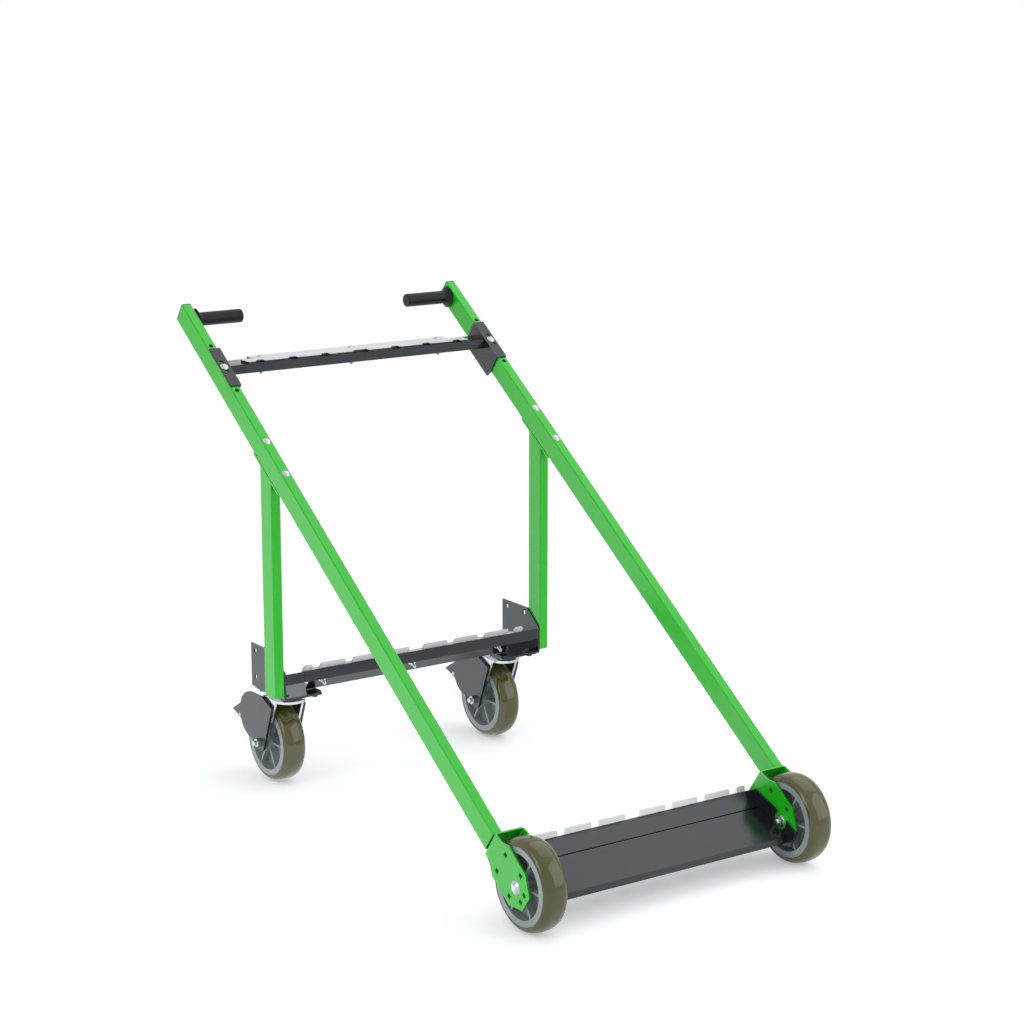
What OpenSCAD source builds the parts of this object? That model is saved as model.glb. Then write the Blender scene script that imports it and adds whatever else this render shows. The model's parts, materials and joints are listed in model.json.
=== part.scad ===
// Panel trolley: two sloping tube rails on two fixed front wheels and two braked
// swivel casters, with three notched strips that keep boards standing apart.
// Sizes are in millimetres. Lengths along Y are counted from the front axle,
// and s and t run along a rail and square to it, from the front axle too.

/* [Frame] */
// Width over the outer faces of the rails
frame_w = 780; // [720:1:860]
// Slope of the rails from the floor, in degrees
rail_slope = 35.3; // [35:0.1:36]
// Length from the front axle to the upper end of a rail, along the slope
rail_end = 1745; // [1725:1:1800]
// Width of the frame tube, across the cart
tube_w = 25; // [24:1:30]
// Depth of the frame tube
tube_d = 50; // [46:1:52]
// Wall of the frame tube
tube_wall = 2; // [1.5:0.5:3]
// Outer corner radius of the frame tube
tube_corner = 3; // [2:0.5:4]
// Distance from the front axle to the middle of the posts
post_y = 1015; // [1005:1:1025]
// Height of the lower end of the posts above the underside of the caster flange
post_bottom = 8.5; // [6:0.5:19]
// Thickness of the head plate between a post and its rail
head_t = 4.5; // [3:0.5:6]
// Length of that head plate along the rail
head_l = 136; // [130:1:150]
// Distance between the two bolts of a head plate
head_bolts = 106; // [100:1:112]

/* [Front forks and wheels] */
// Radius of every wheel
wheel_r = 100; // [98:1:101]
// Width of the wheel tread
wheel_w = 60; // [56:1:61]
// Width over the plates of a front fork
fork_w = 75; // [74:1:80]
// Sheet thickness of the forks
fork_t = 4.5; // [4:0.5:5]
// Distance from the axle to the back of the fork web
fork_web = 118.5; // [112:0.5:125]
// Side of the square holes in the forks and brackets
square_hole = 10.5; // [6:0.5:11.5]
// Radius of the wheel axle bolts
axle_r = 6; // [5:0.5:8]
// Number of ribs in a wheel core
ribs = 6; // [3:1:8]

/* [Casters] */
// Distance from the inner face of a post to its caster swivel
caster_x = 55; // [53:1:59]
// Offset of the caster wheel behind its swivel
trail = 63; // [61:1:66]
// Length of the caster bracket, behind the front of the post
bracket_l = 160; // [156:1:170]
// Reach of the bracket flange from the post towards the middle
bracket_reach = 107; // [106:1:112]
// Sheet thickness of the caster brackets
bracket_t = 4; // [3:0.5:5]
// Height of the underside of the bracket flange above the wheels
mount_z = 41; // [40:0.5:43]
// Height of the bracket, from the underside of its flange
bracket_top = 106; // [89:1:119]
// Thickness of the caster top plate
caster_plate_t = 5; // [4:0.5:6]
// Radius of the caster kingpin
kingpin_r = 8; // [6:0.5:10]
// Radius of the brake pedal pin
pedal_pin_r = 4; // [3:0.5:5]

/* [Bars and strips] */
// Gap between a notched strip and the front fork at each end
strip_gap = 3; // [1:0.5:9]
// Height of a notched strip, tips of the teeth included
strip_h = 72; // [68:1:74]
// Thickness of a notched strip
strip_t = 6; // [5:0.5:8]
// Depth of the notches
notch_d = 14; // [8:1:20]
// Width of the notch in the middle of a strip
notch_mid = 41; // [30:1:50]
// Width of the other notches
notch_w = 21.5; // [15:0.5:26]
// Width of a full tooth
tooth_w = 68; // [60:1:70]
// Distance of the strip bolts from the tips of the teeth
strip_bolt_in = 50; // [44:1:54]
// Distance of the outer strip bolts from the ends of the strip
strip_bolt_x = 60; // [52:1:77]
// Sheet thickness of the bars
bar_t = 3; // [2:0.5:4]
// Height of the front flange of the upper bar
upper_flange = 22; // [18:1:26]
// Height of the top of the upper bar above the front axle
upper_z = 903; // [900:1:906]
// Distance from the front axle to the front of the upper bar
upper_y = 1228; // [1224:1:1232]
// Length of the clamp brackets along the rail
clamp_l = 128; // [120:1:134]
// Distance from the front axle to the clamp bolt, along the slope
clamp_s = 1522; // [1518:1:1526]
// Length of the slot in a clamp bracket
clamp_slot = 42; // [36:1:50]
// Travel of the upper bar each way along its slots
clamp_travel = 16; // [4:1:16]
// Height of the front flange of the rear bar
rear_flange = 26; // [20:1:28]
// Height of the upper edge of the rear bar above the underside of the caster flange
rear_z = 62; // [59:1:65]

/* [Toe] */
// Height of the upper edge of the toe above the front axle
toe_z = 34.5; // [31:0.5:38]
// Distance of that edge behind the front axle
toe_y = 121; // [118:1:124]
// Slope of the toe face, in degrees
toe_slope = 23.5; // [22:0.1:25]
// Width of the upper band of the toe, the toe bar
toe_bar_w = 54; // [48:1:58]
// Gap between the toe bar and the toe plate
toe_seam = 2.5; // [1:0.5:4]
// Width of the sloping face of the toe plate
toe_plate_w = 102; // [94:1:104]
// Width of the folded lower edge of the toe plate
toe_lip = 21; // [15:1:24]

/* [Grips and fasteners] */
// Length of a grip from the rail to its tip
grip_l = 129; // [110:1:140]
// Radius of a grip
grip_r = 16.5; // [15:0.5:18]
// Radius of the steel peg inside a grip
peg_r = 10; // [8:0.5:11]
// Distance of the grip from the upper end of the rail
grip_in = 28; // [26:1:40]
// Radius of the frame bolts
bolt_r = 4; // [3:0.5:4]
// Distance of the spare holes in the rails each way from the clamp bolt
spare_hole = 76.5; // [74:0.5:84]
// Radius of the spare holes in the rails
spare_r = 5.5; // [4:0.25:6.5]

/* [Hidden] */
// Radial clearance of turning shafts
run_fit = 0.05;
// Clearance of sliding faces
slide_fit = 0.3;
// Clearance of the rear bar against its strip and its nuts
seat_fit = 0.02;
// Width of the holes for the frame bolts
hole_r = bolt_r + 0.25;
// Head and nut of a frame bolt
head_r = bolt_r * 2.55;
head_h = bolt_r * 1.1;
nut_r = bolt_r * 1.88;
nut_h = bolt_r * 1.6;
// Outlines of the tubes and the places of the main pieces across the cart
rail_out = frame_w / 2;
rail_in = rail_out - tube_w;
rail_x = rail_out - tube_w / 2;
fork_x = rail_out - fork_w / 2;
fork_in = rail_out - fork_w;
cap_t = 3;
// Middle of the cart along Y, between the front of the wheels and the rail ends
rear_y = (rail_end + cap_t) * cos(rail_slope) + tube_d / 2 * sin(rail_slope);
mid_y = (rear_y - wheel_r) / 2;
// Post head, along the rail
post_s = (post_y - (tube_d / 2 + head_t) * sin(rail_slope)) / cos(rail_slope);
// Caster
swivel_x = rail_in - caster_x;
flange_z = 2 * wheel_r + mount_z;
swivel_y = post_y - tube_d / 2 + bracket_l / 2;
caster_y = swivel_y + trail;
plate_low = flange_z - caster_plate_t;
race_z = plate_low - 6;
crown_top = race_z - slide_fit;
crown_z = crown_top - 16;
leg_in = wheel_w / 2 + 5;
leg_out = leg_in + 5.5;
cover_in = leg_out + 1.5;
cover_out = cover_in + 5.5;
bolt_dx = 40;
bolt_dy = 55;
plate_w = 104;
plate_l = 140;
race_r = 36;
cover_r = 58;
// The pedal turns on a pin outside the wheel, at this gap and angle from the axle
pedal_gap = 12.16;
pedal_angle = 50.06;
pedal_y = caster_y + (wheel_r + pedal_gap) * cos(pedal_angle);
pedal_z = wheel_r + (wheel_r + pedal_gap) * sin(pedal_angle);
pedal_tilt = 30.8;
// Wheel
core_r = wheel_r * 0.84;
rim_r = wheel_r * 0.7;
hub_r = 22;
shoulder = 20;
hub_half = fork_w / 2 - fork_t - 0.8;
// Rear bar, square to the rails
rear_top = flange_z + rear_z;
rear_back = post_y - tube_d / 2 + bar_t;
rear_s = rear_back * cos(rail_slope) + (rear_top - wheel_r) * sin(rail_slope);
rear_t = (rear_top - wheel_r) * cos(rail_slope) - rear_back * sin(rail_slope);
// The plate of the rear bar ends this far above the caster flange
rear_gap = 0.75;
rear_depth = (rear_z - bracket_t - rear_gap - bar_t * sin(rail_slope)) / cos(rail_slope);
// The lower part of the rear bar stops this far short of the posts
rear_cut = 80;
rear_keep = 25;
tooth_out = 15;
// Upper bar
upper_top = wheel_r + upper_z;
upper_depth = strip_h + 2;
clamp_x = rail_in - slide_fit;
clamp_in = clamp_x - bracket_t;
// Toe
toe_half = fork_in - bracket_t;
toe_back_h = 62;
seam_fold = 14;
toe_top = wheel_r + toe_z;
toe_strip_z = toe_top + 13.5;
// Notched strips
strip_l = 2 * (fork_in - strip_gap);
tooth_r = 5;
// The lower corners of a strip are cut back by this width and height
strip_corner = [34, 34];

green = [0.34, 0.76, 0.34];
dark_grey = [0.38, 0.39, 0.41];
zinc = [0.82, 0.83, 0.85];
white = [0.92, 0.92, 0.92];
black = [0.12, 0.13, 0.14];
core_grey = [0.5, 0.54, 0.56];
olive = [0.45, 0.43, 0.32];

$fn = 64;

// Frames and sides. Every piece is drawn on the right and mirrored for the left.

module cart() {
  translate([0, -mid_y, 0]) children();
}

module side(right) {
  mirror([right ? 0 : 1, 0, 0]) children();
}

module both_sides() {
  side(true) children();
  side(false) children();
}

// Local y runs up the rail and local z is square to it
module rail_frame() {
  translate([0, 0, wheel_r]) rotate([rail_slope, 0, 0]) children();
}

// Lays a drawing of Y and Z on its side and makes it dx thick, from x on
module plate_x(x, dx) {
  translate([x, 0, 0]) rotate([90, 0, 90]) linear_extrude(dx) children();
}

module rod_x(x, dx, r) {
  translate([x, 0, 0]) rotate([0, 90, 0]) cylinder(h = dx, r = r);
}

// Rectangle with round corners, about its middle
module round_rect(w, d, r) {
  square([w - 2 * r, d], center = true);
  square([w, d - 2 * r], center = true);
  for (x = [-1, 1])
    for (y = [-1, 1])
      translate([x * (w / 2 - r), y * (d / 2 - r)]) circle(r);
}

module tube_section() {
  difference() {
    round_rect(tube_w, tube_d, tube_corner);
    round_rect(tube_w - 2 * tube_wall, tube_d - 2 * tube_wall, tube_corner / 2);
  }
}

// Fasteners stand on z = 0 with the shank pointing down

module carriage_bolt(r, length) {
  dome = r * 3.6;
  translate([0, 0, -length]) cylinder(h = length + 0.5, r = r);
  intersection() {
    cylinder(h = r * 1.1, r = r * 2.55);
    translate([0, 0, r * 1.1 - dome]) sphere(dome);
  }
}

module nut(r) {
  difference() {
    translate([0, 0, -r * 1.6]) cylinder(h = r * 1.6, r = r * 1.88, $fn = 6);
    translate([0, 0, -r * 2]) cylinder(h = r * 2.4, r = r);
  }
}

// Frame

module rail(right) {
  color(green) cart() side(right) rail_frame() difference() {
    translate([rail_x, fork_web, 0]) rotate([-90, 0, 0])
      linear_extrude(rail_end - fork_web) tube_section();
    for (s = concat(head_hole_s(), [clamp_s]))
      translate([rail_x, s, -tube_d]) cylinder(h = 2 * tube_d, r = hole_r);
    for (k = [-1, 1])
      translate([rail_x, clamp_s + k * spare_hole, -tube_d]) cylinder(h = 2 * tube_d, r = spare_r);
    translate([0, rail_end - grip_in, 0]) rod_x(rail_in - 1, tube_wall + 2, peg_r + run_fit);
  }
}

function head_hole_s() = [post_s - head_bolts / 2, post_s + head_bolts / 2];

module rail_cap(right) {
  plug_w = tube_w - 2 * tube_wall;
  plug_d = tube_d - 2 * tube_wall;
  color(black) cart() side(right) rail_frame() translate([rail_x, rail_end, 0]) rotate([-90, 0, 0]) {
    linear_extrude(cap_t) round_rect(tube_w, tube_d, tube_corner);
    translate([0, 0, -10]) linear_extrude(10.5) round_rect(plug_w, plug_d, tube_corner / 2);
  }
}

// Outline of a fork plate in s and t
module fork_outline() {
  polygon([
    [fork_web, 30], [90, 36], [68, 51], [-6, 51], [-44, 22],
    [-44, -22], [-6, -51], [68, -51], [90, -36], [fork_web, -30]
  ]);
}

// The folded sheet seen along t: two legs and a web with round bends
module fork_fold() {
  bend = 9;
  inner = bend - fork_t;
  leg = fork_web + 60;
  difference() {
    translate([0, fork_web - leg / 2]) round_rect(fork_w, leg, bend);
    translate([0, fork_web - fork_t - leg / 2]) round_rect(fork_w - 2 * fork_t, leg, inner);
    translate([0, -70]) square([2 * fork_w, 50], center = true);
  }
}

module front_fork(right) {
  color(green) cart() side(right) rail_frame() difference() {
    intersection() {
      translate([fork_x, 0, -60]) linear_extrude(120) fork_fold();
      plate_x(fork_in - 1, fork_w + 2) fork_outline();
    }
    for (p = [[63.7, 27], [4, 34.5], [-29, 11]])
      for (k = [-1, 1])
        translate([fork_x, p[0], k * p[1]]) cube([2 * fork_w, square_hole, square_hole], center = true);
    rod_x(fork_in - 1, fork_w + 2, axle_r + run_fit);
  }
}

module post(right) {
  color(green) cart() side(right) difference() {
    translate([rail_x, post_y, flange_z + post_bottom]) linear_extrude(rail_end) tube_section();
    rail_frame() translate([-rail_end, -rail_end, -tube_d / 2 - head_t])
      cube([2 * rail_end, 3 * rail_end, 2 * rail_end]);
  }
}

module post_head(right) {
  color(green) cart() side(right) rail_frame() difference() {
    translate([rail_in, post_s - head_l / 2, -tube_d / 2 - head_t]) cube([tube_w, head_l, head_t]);
    for (s = head_hole_s()) translate([rail_x, s, -tube_d]) cylinder(h = tube_d, r = hole_r);
  }
}

module post_bolts() {
  color(zinc) cart() both_sides() rail_frame()
    for (s = head_hole_s())
      translate([rail_x, s, tube_d / 2]) carriage_bolt(bolt_r, tube_d + head_t + nut_h + 5);
}

module post_nuts() {
  color(zinc) cart() both_sides() rail_frame()
    for (s = head_hole_s()) translate([rail_x, s, -tube_d / 2 - head_t]) nut(bolt_r);
}

// Bent plate on the inner face of a post: an upright with spare holes and a flange for the caster
module caster_bracket(right) {
  front = post_y - tube_d / 2;
  back = front + bracket_l;
  top = flange_z + bracket_top;
  color(dark_grey) cart() side(right) difference() {
    union() {
      plate_x(rail_in - bracket_t, bracket_t) polygon([
        [front, flange_z], [back, flange_z], [back, top],
        [post_y + tube_d / 2, top], [front, top - 40]
      ]);
      translate([0, 0, flange_z]) linear_extrude(bracket_t) polygon([
        [rail_in, front], [rail_in, back], [rail_in - bracket_reach, back],
        [rail_in - bracket_reach, front + 14], [rail_in - bracket_reach + 30, front]
      ]);
    }
    for (y = [front + 64, back - 20])
      for (z = [flange_z + 26, top - 15])
        translate([rail_in, y, z]) cube([4 * bracket_t, square_hole, square_hole], center = true);
    caster_bolt_places() cylinder(h = 40, r = hole_r, center = true);
  }
}

// The four bolt places of the right caster, on the underside of the flange
module caster_bolt_places() {
  for (x = [-1, 1])
    for (y = [-1, 1])
      translate([swivel_x + x * bolt_dx, swivel_y + y * bolt_dy, flange_z]) children();
}

// Notched strips and their bars

// One strip in x and height, with the tips of its teeth at the top
module strip_outline() {
  pitch = tooth_w + notch_w;
  run = (strip_l - notch_mid) / 2;
  full = floor(run / pitch);
  last = min(run - full * pitch, tooth_w);
  translate([strip_corner[0] - strip_l / 2, -strip_h]) square([strip_l - 2 * strip_corner[0], strip_h - notch_d]);
  translate([-strip_l / 2, strip_corner[1] - strip_h]) square([strip_l, strip_h - strip_corner[1] - notch_d]);
  for (k = [-1, 1]) {
    for (i = [0 : full - 1]) translate([k * (notch_mid / 2 + tooth_w / 2 + i * pitch), 0]) tooth(tooth_w);
    if (last > 2 * tooth_r) translate([k * (notch_mid / 2 + full * pitch + last / 2), 0]) tooth(last);
  }
}

// A tooth with round upper corners, hanging from the tip line
module tooth(w) {
  translate([-w / 2, -notch_d - 1]) square([w, notch_d + 1 - tooth_r]);
  translate([-w / 2 + tooth_r, -notch_d - 1]) square([w - 2 * tooth_r, notch_d + 1]);
  for (k = [-1, 1]) translate([k * (w / 2 - tooth_r), -tooth_r]) circle(tooth_r);
}

module strip_holes_2d() {
  for (x = strip_bolt_xs()) translate([x, -strip_bolt_in]) circle(hole_r);
}

function strip_bolt_xs() = [for (k = [-1, 0, 1]) k * (strip_l / 2 - strip_bolt_x)];

// Strip standing up in z, front face at y = 0, tips at z = 0
module strip() {
  color(white) translate([0, strip_t, 0]) rotate([90, 0, 0]) linear_extrude(strip_t) difference() {
    strip_outline();
    strip_holes_2d();
  }
}

// Bolts of a standing strip: heads behind it, shanks pointing forward through the strip and its bar
module strip_bolts() {
  length = strip_t + bar_t + nut_h + 12;
  color(zinc) for (x = strip_bolt_xs())
    translate([x, strip_t, -strip_bolt_in]) rotate([-90, 0, 0]) carriage_bolt(bolt_r, length);
}

module strip_nuts() {
  color(zinc) for (x = strip_bolt_xs())
    translate([x, -bar_t, -strip_bolt_in]) rotate([-90, 0, 0]) nut(bolt_r);
}

// Rear bar: a plate square to the rails, folded down in front at its upper edge
module rear_crossbar() {
  front = post_y - tube_d / 2;
  half = rail_in - bracket_t;
  back = front + bar_t;
  low = [back + rear_depth * sin(rail_slope), rear_top - rear_depth * cos(rail_slope)];
  color(dark_grey) cart() difference() {
    plate_x(-half, 2 * half) polygon([
      [front, rear_top - rear_flange], [front, rear_top], [back, rear_top], low,
      low - bar_t * [cos(rail_slope), sin(rail_slope)],
      [back, rear_top - bar_t / sin(rail_slope)], [back, rear_top - rear_flange]
    ]);
    both_sides() rail_frame() translate([rail_in - rear_cut, rear_s - 2 * bar_t, rear_t - 2 * rear_depth])
      cube([rear_cut, 3 * bar_t, 2 * rear_depth - rear_keep]);
    rear_strip_place() rotate([90, 0, 0]) linear_extrude(20, center = true) strip_holes_2d();
  }
}

module rear_strip_place() {
  rail_frame() translate([0, rear_s + seat_fit, rear_t + tooth_out]) children();
}

module rear_strip() {
  cart() rear_strip_place() strip();
}

module rear_strip_bolts() {
  cart() rear_strip_place() strip_bolts();
}

module rear_strip_nuts() {
  cart() rear_strip_place() translate([0, -2 * seat_fit, 0]) strip_nuts();
}

// Upper bar: a channel open below, with the strip lying on it and its teeth to the front
module upper_crossbar() {
  color(dark_grey) cart() difference() {
    translate([-clamp_in, upper_y, upper_top - upper_flange]) cube([2 * clamp_in, upper_depth, upper_flange]);
    translate([-clamp_in - 1, upper_y + bar_t, upper_top - upper_flange - bar_t])
      cube([2 * clamp_in + 2, upper_depth - 2 * bar_t, upper_flange]);
    upper_strip_place() rotate([90, 0, 0]) linear_extrude(20, center = true) strip_holes_2d();
  }
}

module upper_strip_place() {
  translate([0, upper_y, upper_top]) rotate([90, 0, 0]) children();
}

module upper_strip() {
  cart() upper_strip_place() strip();
}

module upper_strip_bolts() {
  length = strip_t + bar_t + nut_h + 26;
  color(zinc) cart() upper_strip_place() for (x = strip_bolt_xs())
    translate([x, strip_t, -strip_bolt_in]) rotate([-90, 0, 0]) carriage_bolt(bolt_r, length);
}

module upper_strip_nuts() {
  cart() upper_strip_place() strip_nuts();
}

// Bent plate that carries an end of the upper bar: a slotted flange on the rail and an inner cheek
module clamp_bracket(right) {
  low = clamp_s - clamp_l / 2;
  high = clamp_s + clamp_l / 2;
  top = tube_d / 2 + slide_fit + bracket_t;
  color(dark_grey) cart() side(right) rail_frame() difference() {
    union() {
      plate_x(clamp_in, bracket_t) polygon([
        [low, top], [high, top], [high, -20], [high - 28, -41], [low + 6, -41], [low, -22]
      ]);
      translate([clamp_in, low, top - bracket_t]) cube([rail_out - clamp_in, clamp_l, bracket_t]);
    }
    translate([rail_x, clamp_s, 0]) linear_extrude(tube_d) slot_2d(clamp_slot, 2 * hole_r);
  }
}

module slot_2d(length, w) {
  square([w, length - w], center = true);
  for (k = [-1, 1]) translate([0, k * (length - w) / 2]) circle(w / 2);
}

module clamp_bolts() {
  top = tube_d / 2 + bracket_t + 2 * slide_fit;
  color(zinc) cart() both_sides() rail_frame()
    translate([rail_x, clamp_s, top]) carriage_bolt(bolt_r, top + tube_d / 2 + nut_h + 5);
}

module clamp_nuts() {
  color(zinc) cart() both_sides() rail_frame()
    translate([rail_x, clamp_s, -tube_d / 2]) nut(bolt_r);
}

// Toe: a bar that holds the front strip, a folded plate below it, and a cheek at each end

// Local y runs up the toe face and local z is square to it, from its upper edge
module toe_frame() {
  translate([0, toe_y, toe_top]) rotate([toe_slope, 0, 0]) children();
}

// A point on the toe in Y and Z, from u along its face and v square to it
function toe_point(u, v) = [
  toe_y + u * cos(toe_slope) - v * sin(toe_slope),
  toe_top + u * sin(toe_slope) + v * cos(toe_slope)
];

module toe_bar() {
  inner_z = toe_top - bar_t * tan(toe_slope) - bar_t / cos(toe_slope);
  color(dark_grey) cart() difference() {
    plate_x(-toe_half, 2 * toe_half) polygon([
      toe_point(-toe_bar_w, 0), [toe_y, toe_top],
      [toe_y, toe_top - toe_back_h], [toe_y - bar_t, toe_top - toe_back_h], [toe_y - bar_t, inner_z],
      toe_point(bar_t - toe_bar_w, -bar_t), toe_point(bar_t - toe_bar_w, -seam_fold),
      toe_point(-toe_bar_w, -seam_fold)
    ]);
    toe_strip_place() rotate([90, 0, 0]) linear_extrude(20, center = true) strip_holes_2d();
  }
}

module toe_plate() {
  top = -toe_bar_w - toe_seam;
  color(dark_grey) cart() toe_frame() {
    translate([-toe_half, top - toe_plate_w, -bar_t]) cube([2 * toe_half, toe_plate_w, bar_t]);
    translate([-toe_half, top - bar_t, -seam_fold]) cube([2 * toe_half, bar_t, seam_fold]);
    translate([-toe_half, top - toe_plate_w, -toe_lip]) cube([2 * toe_half, bar_t, toe_lip]);
  }
}

module toe_cheek(right) {
  color(dark_grey) cart() side(right) plate_x(toe_half, bracket_t) translate([0, wheel_r]) difference() {
    polygon([
      [85, 50], [22, 28], [-30, 2], [-53, -11], [-51, -23], [-36, -50],
      [-12, -52], [60, -22], [toe_y, toe_z - toe_back_h + 20], [toe_y, toe_z]
    ]);
    translate([0, 2]) circle(20);
  }
}

module toe_strip_place() {
  translate([0, toe_y, toe_strip_z]) children();
}

module toe_strip() {
  cart() toe_strip_place() strip();
}

module toe_strip_bolts() {
  cart() toe_strip_place() strip_bolts();
}

module toe_strip_nuts() {
  cart() toe_strip_place() strip_nuts();
}

// Grips

module grip_peg(right) {
  color(zinc) cart() side(right) rail_frame() translate([0, rail_end - grip_in, 0])
    rod_x(rail_in - grip_l + 8, grip_l - 8 + tube_wall, peg_r);
}

module grip(right) {
  color(black) cart() side(right) rail_frame() translate([0, rail_end - grip_in, 0]) difference() {
    union() {
      rod_x(rail_in - grip_l, grip_l - 4, grip_r);
      translate([rail_in - 20, 0, 0]) rotate([0, 90, 0]) cylinder(h = 15.5, r1 = grip_r - 0.5, r2 = grip_r + 4);
      rod_x(rail_in - 5, 5, grip_r + 5);
    }
    rod_x(rail_in - grip_l + 8, grip_l, peg_r);
  }
}

// Wheels, about their own middle with the axle along x

module wheel_tread() {
  color(olive) rotate([0, 90, 0]) rotate_extrude() intersection() {
    translate([core_r, -wheel_w / 2]) square([wheel_r - core_r, wheel_w]);
    union() {
      translate([core_r - 1, shoulder - wheel_w / 2]) square([wheel_r - core_r + 1, wheel_w - 2 * shoulder]);
      for (k = [-1, 1]) translate([wheel_r - shoulder, k * (wheel_w / 2 - shoulder)]) circle(shoulder);
    }
  }
}

module wheel_core(hub) {
  rim_half = wheel_w / 2 - 1;
  rib_half = rim_half - 4;
  color(core_grey) {
    rotate([0, 90, 0]) rotate_extrude() {
      translate([axle_r + run_fit, -hub]) square([hub_r - axle_r - run_fit, 2 * hub]);
      translate([hub_r - 1, -6]) square([rim_r - hub_r + 2, 12]);
      translate([rim_r, -rim_half]) square([core_r - rim_r, 2 * rim_half]);
    }
    for (i = [0 : ribs - 1]) rotate([i * 360 / ribs, 0, 0])
      translate([-rib_half, hub_r - 3, -2.5]) cube([2 * rib_half, rim_r - hub_r + 4, 5]);
  }
}

module front_wheel_place(right) {
  cart() side(right) translate([fork_x, 0, wheel_r]) children();
}

module front_tread(right) {
  front_wheel_place(right) wheel_tread();
}

module front_core(right) {
  front_wheel_place(right) wheel_core(hub_half);
}

module front_axle_bolts() {
  color(zinc) cart() both_sides() translate([rail_out, 0, wheel_r]) rotate([0, 90, 0])
    carriage_bolt(axle_r, fork_w + 15);
}

module front_axle_nuts() {
  color(zinc) cart() both_sides() translate([fork_in, 0, wheel_r]) rotate([0, 90, 0]) nut(axle_r);
}

// Casters

module caster_place(right) {
  cart() side(right) translate([swivel_x, 0, 0]) children();
}

// Top plate with the fixed bearing race and the kingpin, which ends in a riveted head
module caster_plate(right) {
  color(dark_grey) {
    cart() side(right) difference() {
      translate([swivel_x - plate_w / 2, swivel_y - plate_l / 2, plate_low])
        cube([plate_w, plate_l, caster_plate_t]);
      caster_bolt_places() cylinder(h = 40, r = hole_r, center = true);
    }
    caster_place(right) translate([0, swivel_y, 0]) {
      translate([0, 0, race_z]) cylinder(h = plate_low - race_z + 0.5, r = race_r);
      translate([0, 0, crown_z - 8]) cylinder(h = race_z - crown_z + 9, r = kingpin_r);
      translate([0, 0, crown_z - 8]) cylinder(h = 7.7, r = kingpin_r + 5);
    }
  }
}

module caster_plate_bolts() {
  color(dark_grey) cart() both_sides() caster_bolt_places()
    translate([0, 0, bracket_t]) carriage_bolt(bolt_r, bracket_t + caster_plate_t + nut_h + 1);
}

module caster_plate_nuts() {
  color(dark_grey) cart() both_sides() caster_bolt_places()
    translate([0, 0, -caster_plate_t]) nut(bolt_r);
}

module leg_outline() {
  polygon([
    [swivel_y - 6, crown_z], [swivel_y - 6, crown_z + 6], [swivel_y + 42, crown_z + 6],
    [caster_y + 20, wheel_r + 4], [caster_y - 19, wheel_r - 7]
  ]);
  translate([caster_y, wheel_r]) circle(20);
}

module caster_fork(right) {
  color(zinc) caster_place(right) difference() {
    union() {
      for (k = [-1, 1]) mirror([k < 0 ? 1 : 0, 0, 0])
        plate_x(leg_in, leg_out - leg_in) leg_outline();
      translate([-leg_out, swivel_y - 6, crown_z]) cube([2 * leg_out, 48, 6]);
      translate([0, swivel_y, crown_z]) cylinder(h = 6, r = leg_out);
      translate([0, swivel_y, crown_z + 5]) cylinder(h = crown_top - crown_z - 5, r1 = leg_out - 1, r2 = 33);
    }
    translate([0, swivel_y, crown_z - 5]) cylinder(h = 40, r = kingpin_r + run_fit);
    translate([0, caster_y, wheel_r]) rod_x(-leg_out - 1, 2 * leg_out + 2, axle_r + run_fit);
  }
}

// Plate outside each leg: a round head about the pedal pin, a straight front edge and a round foot
module cover_outline() {
  head = [pedal_y - 35, pedal_z - 27];
  translate(head) circle(cover_r);
  polygon([
    [swivel_y + 1, crown_z - 15.7], [head[0] - 56, head[1] + cover_r], [head[0], head[1] + cover_r],
    [head[0] + 52, head[1] - 26], [caster_y + 44, wheel_r + 20], [caster_y + 19, wheel_r - 1],
    [caster_y + 11, wheel_r - 11], [caster_y - 21.5, wheel_r - 9]
  ]);
  translate([caster_y - 4.5, wheel_r - 3.5]) circle(17.5);
}

// The covers stand off the legs on a round boss, and the pedal pin joins the pair
module brake_covers(right) {
  pin_end = cover_out - 1;
  color(dark_grey) caster_place(right) {
    difference() {
      for (k = [-1, 1]) mirror([k < 0 ? 1 : 0, 0, 0]) {
        plate_x(cover_in, cover_out - cover_in) cover_outline();
        translate([0, caster_y, wheel_r]) rod_x(leg_out, cover_in - leg_out + 1, 14);
      }
      translate([0, caster_y, wheel_r]) rod_x(-cover_out - 1, 2 * cover_out + 2, axle_r + run_fit);
    }
    translate([0, pedal_y, pedal_z]) rod_x(-pin_end, 2 * pin_end, pedal_pin_r);
  }
}

// Foot pedal between the covers: a tread plate, two side cheeks and the pad that meets the wheel
module brake_pedal(right) {
  half = cover_in - slide_fit - 0.2;
  cheek = 3;
  reach = 80;
  color(dark_grey) caster_place(right) translate([0, pedal_y, pedal_z]) rotate([-pedal_tilt, 0, 0]) difference() {
    union() {
      translate([-half, 2, 1]) cube([2 * half, reach - 2, 4]);
      translate([-wheel_w / 2 + 8, 20, -14]) cube([wheel_w - 16, 16, 16]);
      for (k = [-1, 1]) mirror([k < 0 ? 1 : 0, 0, 0]) plate_x(half - cheek, cheek) union() {
        polygon([[-4, 5], [reach, 5], [reach - 4, -1], [47, -36], [-4, -6]]);
        circle(8);
      }
    }
    rod_x(-half - 1, 2 * half + 2, pedal_pin_r + run_fit);
  }
}

// Rod with a nut run on to each end
module caster_axle(right) {
  nut_end = cover_out + axle_r * 1.6;
  color(zinc) caster_place(right) translate([0, caster_y, wheel_r]) {
    rod_x(-nut_end - 7, 2 * nut_end + 14, axle_r);
    for (x = [-cover_out, nut_end]) translate([x, 0, 0]) rotate([0, 90, 0]) nut(axle_r - 0.1);
  }
}

module caster_wheel_place(right) {
  caster_place(right) translate([0, caster_y, wheel_r]) children();
}

module caster_tread(right) {
  caster_wheel_place(right) wheel_tread();
}

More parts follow.
